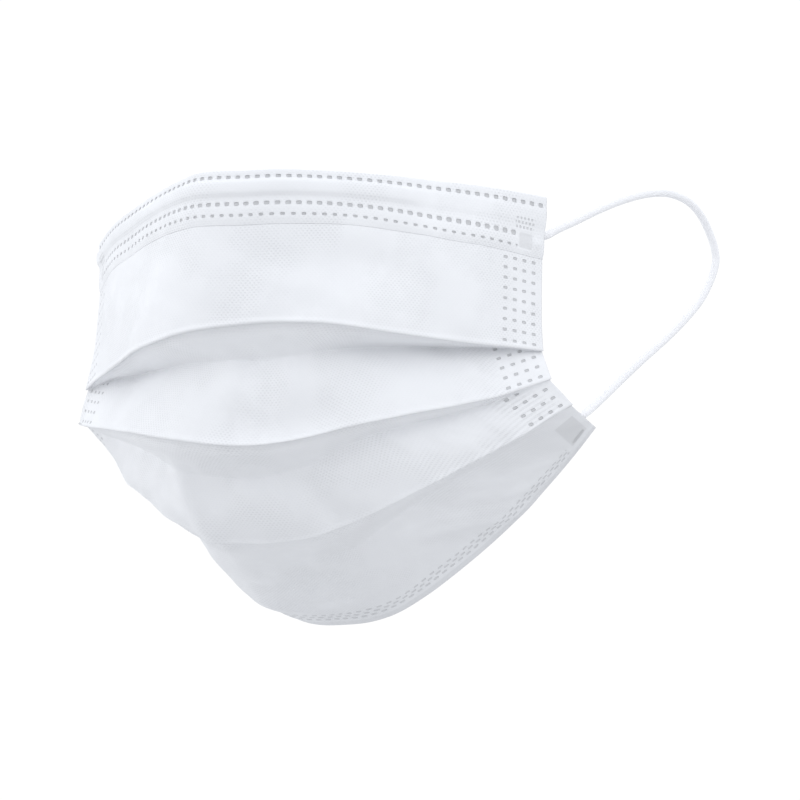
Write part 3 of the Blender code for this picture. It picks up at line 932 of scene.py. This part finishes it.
# %% Shader helpers
class Graph:
    """A few short names for building a material's nodes."""

    def __init__(self, name):
        self.material = bpy.data.materials.new(name)
        self.material.use_nodes = True
        self.nodes, self.links = self.material.node_tree.nodes, self.material.node_tree.links
        self.shader = self.nodes["Principled BSDF"]

    def put(self, socket, value):
        """Links the value to the socket if it is another node's output, and otherwise writes it there."""
        if hasattr(value, "is_output"):
            self.links.new(value, socket)
        else:
            socket.default_value = value

    def math(self, operation, a, b=0.0):
        """One sum, by the name of its operation, with a and b as outputs or numbers."""
        node = self.nodes.new("ShaderNodeMath")
        node.operation = operation
        self.put(node.inputs[0], a)
        self.put(node.inputs[1], b)
        return node.outputs[0]

    def value(self, name):
        """A number that the mesh carries on its points."""
        node = self.nodes.new("ShaderNodeAttribute")
        node.attribute_name = name
        return node.outputs["Fac"]

    def step(self, value, low, high, out_low=0.0, out_high=1.0):
        """A smooth step from out_low to out_high while value goes from low to high."""
        node = self.nodes.new("ShaderNodeMapRange")
        node.interpolation_type = "SMOOTHSTEP"
        for socket, given in zip(node.inputs, (value, low, high, out_low, out_high)):
            self.put(socket, given)
        return node.outputs[0]

    def noise(self, vector, scale, stretch=(1, 1, 1), turn=0.0, detail=2.0):
        """Noise at a scale, on a place that is first turned (in degrees) and stretched."""
        mapping = self.nodes.new("ShaderNodeMapping")
        mapping.inputs["Scale"].default_value = stretch
        mapping.inputs["Rotation"].default_value = (0, 0, np.radians(turn))
        self.put(mapping.inputs["Vector"], vector)
        node = self.nodes.new("ShaderNodeTexNoise")
        node.inputs["Scale"].default_value = scale
        node.inputs["Detail"].default_value = detail
        self.put(node.inputs["Vector"], mapping.outputs[0])
        return node.outputs[0]

    def mix(self, factor, a, b):
        """Colour a where the factor is 0 and colour b where it is 1."""
        node = self.nodes.new("ShaderNodeMix")
        node.data_type = "RGBA"
        self.put(node.inputs[0], factor)
        self.put(node.inputs[6], a)
        self.put(node.inputs[7], b)
        return node.outputs[2]

    def bump(self, height, distance, strength=1.0, normal=None):
        """A normal that leans as a height of this distance would, on top of another normal if given."""
        node = self.nodes.new("ShaderNodeBump")
        node.inputs["Strength"].default_value = strength
        node.inputs["Distance"].default_value = distance
        self.put(node.inputs["Height"], height)
        if normal is not None:
            self.put(node.inputs["Normal"], normal)
        return node.outputs[0]

    def cell(self, value, pitch, shift):
        """Distance from the nearest of the lines (n + shift) pitch."""
        share = self.math("FRACT", self.math("ADD", self.math("DIVIDE", value, pitch), 0.5 - shift))
        return self.math("MULTIPLY", self.math("SUBTRACT", share, 0.5), pitch)

    def oval(self, dx, dy, half_long, half_high):
        """1 inside a rounded block: (dx / half_long)^4 + (dy / half_high)^4 below 1."""
        x4 = self.math("POWER", self.math("ABSOLUTE", self.math("DIVIDE", dx, half_long)), 4.0)
        y4 = self.math("POWER", self.math("ABSOLUTE", self.math("DIVIDE", dy, half_high)), 4.0)
        return self.step(self.math("ADD", x4, y4), 1.6, 0.4)

    def between(self, value, low, high, soft):
        """1 from low to high, and 0 from a soft distance outside them."""
        return self.all_of(self.step(value, low - soft, low), self.step(value, high + soft, high))

    def largest(self, marks):
        """The largest of several marks."""
        found = marks[0]
        for mark in marks[1:]:
            found = self.math("MAXIMUM", found, mark)
        return found

    def all_of(self, *shares):
        """The product of several shares: 1 where all of them are 1."""
        found = shares[0]
        for share in shares[1:]:
            found = self.math("MULTIPLY", found, share)
        return found


print("shader helpers:", [name for name in vars(Graph) if not name.startswith("_")])

# %% [markdown]
# ## Weld marks
#
# Weld dots are rounded blocks on rows that are measured from the cloth's own edges and folds. An image
# could hold them, but formulas stay sharp at any size. The hem has three rows, a smooth pad and a patch
# of fine points. The sheet has four columns of dots in each side band, three rows along the bottom
# edge, and a smooth pad at the chin's sides.

# %% Weld marks
SEAM_FIRST, SEAM_PITCH, SEAM_ROW_PITCH = 3.0, 3.25, 2.85
# half length and half height of a dot, and where the side bands start below the top edge, in mm
SEAM_DOT, SEAM_TOP = (0.62, 0.36), 15.9
CHIN_DOTS = ((6.4, 0.0, 0.72, 0.50), (8.3, 0.5, 0.72, 0.50), (10.2, 0.0, 0.66, 0.46))
CHIN_PITCH = 2.7
# the pressed bar on the chin's pad: from the side edge, over the bottom edge, half length, half height
CHIN_BAR = (4.6, 9.5, 2.0, 1.3)
# fine points over the hem's pad: pitch along, pitch down, shift of the next line, half length and height
POINT_PITCH, POINT_LINES, POINT_SHIFT, POINT_OVAL = 1.2, 0.9, 0.6, (0.3, 0.22)
# how strongly the fine points and the chin's rows show, where a full weld is 1
POINTS_SHOW, CHIN_ROWS_SHOW = 0.7, 0.6


def side_distance(g, x):
    """Half the cloth's width minus |x|: the distance from the nearer side edge, in mm."""
    return g.math("SUBTRACT", CLOTH_WIDTH / 2 / MM, g.math("ABSOLUTE", x))


def dot_rows(g, along, down, rows, pitch):
    """One mark for each row of dots: ovals at every pitch along, on the row's own height."""
    found = []
    for row, shift, half_long, half_high in rows:
        from_row = g.math("SUBTRACT", down, row)
        found.append(g.oval(g.cell(along, pitch, shift), from_row, half_long, half_high))
    return found


def staggered(g, x, y, pitch, lines, shift, oval):
    """A grid of ovals, each line moved along by a shift against the line before."""
    line = g.math("FLOOR", g.math("DIVIDE", y, lines))
    moved = g.math("ADD", x, g.math("MULTIPLY", line, shift))
    return g.oval(g.cell(moved, pitch, 0.0), g.cell(y, lines, 0.5), *oval)


def hem_marks(g, x, y):
    """Rows of welds along the top hem, a smooth pad over each loop end and fine points above the pad."""
    gathered = g.math("MULTIPLY", g.math("TANH", g.math("DIVIDE", x, NOSE_SPAN)), NOSE_GATHER)
    rows = dot_rows(g, g.math("ADD", x, gathered), y, HEM_DOTS, DOT_PITCH)
    from_side = side_distance(g, x)
    row_end = g.step(from_side, ROWS_END - 0.1, ROWS_END + 0.1)
    lower_rows = g.math("MULTIPLY", g.largest(rows[1:]), row_end)
    point = staggered(g, x, y, POINT_PITCH, POINT_LINES, POINT_SHIFT, POINT_OVAL)
    patch = g.all_of(g.between(from_side, 3.9, 9.9, 0.3), g.between(y, 5.5, 8.1, 0.2))
    off_pad = g.step(g.value("pad"), 0.5, 0.1)
    weld = g.largest([rows[0], lower_rows, g.all_of(point, patch, POINTS_SHOW)])
    return g.all_of(weld, off_pad), g.step(g.value("pad"), 0.3, 0.9)


def chin_pad(g, from_side, seam_row, rise):
    """1 on the smooth strip beside the chin's side edges, between the pleat and the bottom edge."""
    across_pad = g.all_of(g.step(from_side, 1.6, 2.0), g.step(from_side, 7.6, 7.0))
    down_pad = g.all_of(g.step(seam_row, 4.5, 5.0), g.step(rise, 7.0, 8.0))
    return g.all_of(g.value("on_chin"), across_pad, down_pad)


def sheet_marks(g, x, y):
    """Four columns of welds in the side bands, three rows along the bottom edge and the chin's pads."""
    from_side = side_distance(g, x)
    seam_row, on_panel, rise = g.value("seam_row"), g.value("on_panel"), g.value("from_bottom")
    column = g.cell(g.math("SUBTRACT", from_side, SEAM_FIRST), SEAM_PITCH, 0.0)
    seam = g.oval(column, g.cell(seam_row, SEAM_ROW_PITCH, 0.5), *SEAM_DOT)
    below_top = g.step(y, SEAM_TOP - 0.3, SEAM_TOP)
    off_chin = g.step(g.value("on_chin"), 0.1, 0.0)
    band = g.all_of(g.between(from_side, 1.6, 14.1, 0.2), below_top, g.step(on_panel, 0.9, 1.0), off_chin)
    rows = dot_rows(g, g.value("foot"), rise, CHIN_DOTS, CHIN_PITCH)
    chin_rows_mark = g.all_of(g.largest(rows), g.step(from_side, 9.0, 9.4), CHIN_ROWS_SHOW)
    pad = chin_pad(g, from_side, seam_row, rise)
    bar_side, bar_rise, *bar_size = CHIN_BAR
    from_bar = g.math("SUBTRACT", from_side, bar_side), g.math("SUBTRACT", rise, bar_rise)
    bar = g.math("MULTIPLY", g.oval(*from_bar, *bar_size), pad)
    return g.largest([g.math("MULTIPLY", seam, band), chin_rows_mark, bar]), pad


def painted_edge_shade(g):
    """1 in the band along the bottom edge, where the rim turning under the chin is painted darker as shade.
    """
    return g.all_of(g.value("on_chin"), g.step(g.value("from_bottom"), 4.4, 3.6))


print(f"side welds: {int((14.1 - SEAM_FIRST) // SEAM_PITCH) + 1} columns, one every {SEAM_ROW_PITCH} mm")

# %% [markdown]
# ## Bonded nonwoven
#
# Spunbond cloth is a mat of fine fibres, pressed together at small points. It is white, matt and a
# little uneven. The pattern follows the flat cloth, so it reads the UV map and not the object's place.
# Stretched noise stands for fibres, a staggered grid of small ovals for the bond points, and softer
# noise for thinner patches. Welds and pads are pressed flat, so they are smoother and darker. A dark
# line just under each fold is a painted shadow, and a darker band along the bottom edge is painted shade.

# %% Bonded nonwoven
CLOTH_COLOUR = np.array([0.912, 0.92, 0.938])
# the colour's share on each part of the pattern; fold is a painted shadow just under each fold and edge is
# painted shade along the bottom edge
SHADES = {
    "dense": 1.0, "loose": 0.975, "thin": 0.965, "bond": 0.86, "fold": 0.76, "pad": 0.85,
    "edge": 0.9, "weld": 0.66,
}
# pitch along and down, shift of the next line and half sizes of the bond points, in mm
BOND_PITCH, BOND_LINES, BOND_SHIFT, BOND_OVAL = 1.1, 0.62, 0.55, (0.26, 0.15)
CLOTH_ROUGH, PRESSED_ROUGH = 0.9, 0.45
CLOTH_SHEEN, CLOTH_SHEEN_ROUGH, CLOTH_SPECULAR = 0.12, 0.5, 0.3
# how deep the fibres, the bond points and the welds look
FIBRE_BUMP, BOND_BUMP, WELD_BUMP = 0.08 * MM, 0.07 * MM, 0.3 * MM


def shade(part):
    """The cloth's colour times the part's share, as the four numbers that a colour socket takes."""
    return (*(CLOTH_COLOUR * SHADES[part]), 1)


def nonwoven(name, marks, edge=None):
    """White bonded cloth with the welds that one function draws, and a band of painted shade from another.
    """
    g = Graph(name)
    flat = g.nodes.new("ShaderNodeUVMap")
    flat.uv_map = "flat"
    place = flat.outputs[0]
    split = g.nodes.new("ShaderNodeSeparateXYZ")
    g.put(split.inputs[0], place)
    x, y = (g.math("MULTIPLY", split.outputs[k], 1 / MM) for k in (0, 1))
    weld, pressed = marks(g, x, y)
    fibres = [g.noise(place, 900, (1, 0.22, 1), 28, 3), g.noise(place, 800, (1, 0.25, 1), -37, 3)]
    cloud = g.noise(place, 160, detail=3)
    thin = g.noise(place, 26, detail=4)
    patchy = g.step(g.noise(place, 48, detail=3), 0.42, 0.6, 0.15, 1.0)
    bond = staggered(g, x, y, BOND_PITCH, BOND_LINES, BOND_SHIFT, BOND_OVAL)
    clouded = g.mix(g.step(cloud, 0.35, 0.65), shade("loose"), shade("dense"))
    plain = g.mix(g.step(thin, 0.58, 0.44), clouded, shade("thin"))
    pointed = g.mix(g.all_of(bond, patchy, 0.6), plain, shade("bond"))
    # painted shadow: the dark line just under each fold
    fold_shadowed = g.mix(g.value("painted_fold_shadow"), pointed, shade("fold"))
    smoothed = g.mix(pressed, fold_shadowed, shade("pad"))
    # painted shade: a darker band along the bottom edge
    if edge is not None:
        smoothed = g.mix(edge(g), smoothed, shade("edge"))
    g.put(g.shader.inputs["Base Color"], g.mix(weld, smoothed, shade("weld")))
    flattened = g.math("MAXIMUM", weld, pressed)
    g.put(g.shader.inputs["Roughness"], g.step(flattened, 0, 1, CLOTH_ROUGH, PRESSED_ROUGH))
    g.shader.inputs["Sheen Weight"].default_value = CLOTH_SHEEN
    g.shader.inputs["Sheen Roughness"].default_value = CLOTH_SHEEN_ROUGH
    g.shader.inputs["Specular IOR Level"].default_value = CLOTH_SPECULAR
    soft_height = g.math("ADD", g.math("MULTIPLY", g.math("ADD", *fibres), 0.5), cloud)
    soft = g.bump(soft_height, FIBRE_BUMP, 0.6)
    bond_height = g.math("SUBTRACT", 1.0, g.math("MULTIPLY", bond, patchy))
    fine = g.bump(bond_height, BOND_BUMP, 0.8, soft)
    weld_height = g.math("SUBTRACT", 1.0, weld)
    g.put(g.shader.inputs["Normal"], g.bump(weld_height, WELD_BUMP, 0.8, fine))
    return g.material


def dress(piece, material):
    """The material becomes the piece's only one."""
    piece.data.materials.clear()
    piece.data.materials.append(material)


sheet_cloth = nonwoven("nonwoven_sheet", sheet_marks, painted_edge_shade)
dress(cloth, sheet_cloth)
dress(lower_hem, sheet_cloth)
dress(upper_hem, nonwoven("nonwoven_top_hem", hem_marks))
print("nodes in the sheet's material:", len(sheet_cloth.node_tree.nodes))

# %% [markdown]
# ## Elastic and wire
#
# The knitted elastic is white too, with fine stitches that its mesh already has. Light goes a little way
# into it and comes out again, so its shaded side stays pale: that is what subsurface scattering does.
# The wire is plain white plastic.

# %% Elastic and wire
KNIT_DARK, KNIT_PALE = (0.775, 0.775, 0.80, 1), (0.81, 0.81, 0.835, 1)
# how far light goes into the knit, and how deep its fuzz looks
KNIT_DEPTH, KNIT_BUMP = 4.0 * MM, 0.02 * MM
WIRE_DARK, WIRE_PALE = (0.80, 0.80, 0.81, 1), (0.86, 0.86, 0.87, 1)
WIRE_BUMP = 0.03 * MM


def elastic(name):
    """White knit: a fine noise varies its colour and roughness and roughens its surface."""
    g = Graph(name)
    place = g.nodes.new("ShaderNodeTexCoord")
    fuzz = g.noise(place.outputs["Object"], 1500, detail=3)
    g.put(g.shader.inputs["Base Color"], g.mix(fuzz, KNIT_DARK, KNIT_PALE))
    g.put(g.shader.inputs["Roughness"], g.step(fuzz, 0.2, 0.8, 0.75, 0.95))
    g.shader.inputs["Subsurface Weight"].default_value = 1.0
    g.shader.inputs["Subsurface Radius"].default_value = (1.0, 1.0, 1.0)
    g.shader.inputs["Subsurface Scale"].default_value = KNIT_DEPTH
    g.shader.inputs["Specular IOR Level"].default_value = 0.2
    g.put(g.shader.inputs["Normal"], g.bump(fuzz, KNIT_BUMP, 0.2))
    return g.material


def coated_wire(name):
    """White plastic with a faint grain."""
    g = Graph(name)
    place = g.nodes.new("ShaderNodeTexCoord")
    grain = g.noise(place.outputs["Object"], 400, detail=2)
    g.put(g.shader.inputs["Base Color"], g.mix(grain, WIRE_DARK, WIRE_PALE))
    g.put(g.shader.inputs["Roughness"], g.step(grain, 0.2, 0.8, 0.35, 0.5))
    g.put(g.shader.inputs["Normal"], g.bump(grain, WIRE_BUMP, 0.3))
    return g.material


knit, wire = elastic("knitted_elastic"), coated_wire("coated_wire")
for piece in (*loops.values(), *loop_ends):
    dress(piece, knit)
dress(nose_wire, wire)
print("materials:", sorted(material.name for material in bpy.data.materials))

# %% [markdown]
# ## Floor and soft lights
#
# A catalogue picture is lit almost from everywhere, with more from above and the left. A large soft
# light on each side gives the folds their shade, and the left one is the stronger. The floor lies well
# below the mask, because the camera looks up at it, and it is a stage for the picture and no part.

# %% Floor and soft lights
FLOOR_LEVEL, FLOOR_HALF, FLOOR_SHADE = -0.45, 4, 0.6
# place, size in metres and watts of each soft light, and the point that both face
LIGHTS = {
    "left": ((-1.3, -0.4, 0.2), 1.0, 5.0),
    "right": ((1.1, -0.6, 0.35), 1.0, 3.3),
}
LIT_POINT = (0, 0.03, -0.05)

floor_mesh = bpy.data.meshes.new("floor")
floor_signs = np.array([(-1, -1), (1, -1), (1, 1), (-1, 1)])
floor_corners = np.column_stack([floor_signs * FLOOR_HALF, np.full(4, FLOOR_LEVEL)])
floor_mesh.from_pydata(floor_corners.tolist(), [], [(0, 1, 2, 3)])
floor = bpy.data.objects.new("floor", floor_mesh)
bpy.context.scene.collection.objects.link(floor)
paper = Graph("paper_floor")
paper.shader.inputs["Base Color"].default_value = (FLOOR_SHADE, FLOOR_SHADE, FLOOR_SHADE, 1)
paper.shader.inputs["Roughness"].default_value = 0.9
dress(floor, paper.material)
floor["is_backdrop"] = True


def soft_light(name, place, target, size, watts):
    """A square area light at a place that faces a target."""
    light = bpy.data.objects.new(name, bpy.data.lights.new(name, "AREA"))
    bpy.context.scene.collection.objects.link(light)
    light.location = place
    way = np.array(target) - np.array(place)
    heading, rise = np.arctan2(-way[0], way[1]), np.arctan2(way[2], np.hypot(way[0], way[1]))
    light.rotation_euler = (np.pi / 2 + rise, 0, heading)
    light.data.shape, light.data.size, light.data.energy = "SQUARE", size, watts
    print(f"{name} light: {watts} W, {np.linalg.norm(way):.2f} m from what it lights")


for name, (place, size, watts) in LIGHTS.items():
    soft_light(name, place, LIT_POINT, size, watts)

# %% [markdown]
# ## A pale world
#
# Most of the light comes from all around: bright from above, and dark from below, where the folds turn
# their undersides. So the world's strength goes by height, with a slightly cool tint. Where the camera
# looks at the world itself it sees plain white, as on a catalogue page.

# %% World
WORLD_BELOW, WORLD_ABOVE = 0.0, 1.16
# heights of the sky, from -1 to 1, between which the strength grows
WORLD_FROM, WORLD_TO = -0.5, 0.7
LIGHT_TINT, BACKDROP = (0.975, 1.0, 1.045), 1.05

world = bpy.data.worlds.new("white_studio")
bpy.context.scene.world = world
world.use_nodes = True
nodes, links = world.node_tree.nodes, world.node_tree.links
place = nodes.new("ShaderNodeTexCoord")
split = nodes.new("ShaderNodeSeparateXYZ")
links.new(place.outputs["Generated"], split.inputs[0])
rise = nodes.new("ShaderNodeMapRange")
rise.interpolation_type = "SMOOTHSTEP"
links.new(split.outputs[2], rise.inputs[0])
for socket, value in zip(rise.inputs[1:], (WORLD_FROM, WORLD_TO, WORLD_BELOW, WORLD_ABOVE)):
    socket.default_value = value
seen = nodes.new("ShaderNodeLightPath")
white = nodes.new("ShaderNodeMix")
links.new(seen.outputs["Is Camera Ray"], white.inputs[0])
links.new(rise.outputs[0], white.inputs[2])
white.inputs[3].default_value = BACKDROP
links.new(white.outputs[0], nodes["Background"].inputs["Strength"])
tint = nodes.new("ShaderNodeMix")
tint.data_type = "RGBA"
links.new(seen.outputs["Is Camera Ray"], tint.inputs[0])
tint.inputs[6].default_value = (*LIGHT_TINT, 1)
tint.inputs[7].default_value = (1, 1, 1, 1)
links.new(tint.outputs[2], nodes["Background"].inputs["Color"])
bpy.context.scene.view_settings.view_transform = "Standard"
print(f"world strength {WORLD_BELOW} below to {WORLD_ABOVE} above, {BACKDROP} where it is seen")

# %% [markdown]
# ## The box of the dressed model
#
# The CAD box and the dressed box are written side by side.

# %% Finish
dressed_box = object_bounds()
for title, box in (("CAD box", cad_box), ("dressed box", dressed_box)):
    print(title, np.round(np.array(box) / MM, 1).tolist())
